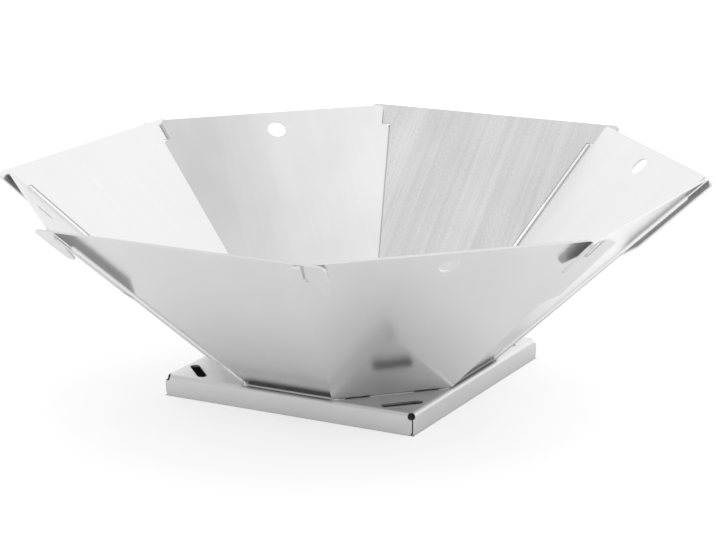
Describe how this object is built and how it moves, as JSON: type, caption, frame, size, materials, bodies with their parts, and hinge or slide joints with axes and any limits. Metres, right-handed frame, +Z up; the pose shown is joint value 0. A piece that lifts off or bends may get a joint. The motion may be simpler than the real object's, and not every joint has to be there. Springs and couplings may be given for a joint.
{
  "type": "fire bowl",
  "caption": "Flat-pack octagonal fire bowl of bare stainless sheet: hooked side panels hang between slotted corner panels that stand on a low square base tray.",
  "frame": {"origin": "centre of the base tray's footprint on the ground", "axes": "+Z up along the bowl's axis; X and Y along the tray's sides, with the front side panel towards -Y"},
  "size_m": [0.48, 0.48, 0.1527],
  "materials": {
    "base_tray": "bare stainless sheet, fine bright brushed finish",
    "corner_panel_front_left": "bare stainless sheet, fine bright brushed finish",
    "corner_panel_front_right": "bare stainless sheet, fine bright brushed finish",
    "corner_panel_back_left": "bare stainless sheet, fine bright brushed finish",
    "corner_panel_back_right": "bare stainless sheet, fine bright brushed finish",
    "side_panel_front": "bare stainless sheet, fine bright brushed finish",
    "side_panel_back": "bare stainless sheet, fine bright brushed finish",
    "side_panel_left": "bare stainless sheet, fine bright brushed finish",
    "side_panel_right": "bare stainless sheet, fine bright brushed finish"
  },
  "bodies": {
    "base": {"base_tray": "base_tray", "corner_panel_front_left": "corner_panel_front_left", "corner_panel_front_right": "corner_panel_front_right", "corner_panel_back_left": "corner_panel_back_left", "corner_panel_back_right": "corner_panel_back_right"},
    "front_side": {"side_panel_front": "side_panel_front"},
    "back_side": {"side_panel_back": "side_panel_back"},
    "left_side": {"side_panel_left": "side_panel_left"},
    "right_side": {"side_panel_right": "side_panel_right"}
  },
  "joints": [
    {"name": "front_panel_lift", "type": "slide", "parent": "base", "child": "front_side", "axis": [0, -0.7177, 0.6963], "range_m": [0, 0.04]},
    {"name": "back_panel_lift", "type": "slide", "parent": "base", "child": "back_side", "axis": [0, 0.7177, 0.6963], "range_m": [0, 0.04]},
    {"name": "left_panel_lift", "type": "slide", "parent": "base", "child": "left_side", "axis": [-0.7177, 0, 0.6963], "range_m": [0, 0.04]},
    {"name": "right_panel_lift", "type": "slide", "parent": "base", "child": "right_side", "axis": [0.7177, 0, 0.6963], "range_m": [0, 0.04]}
  ]
}
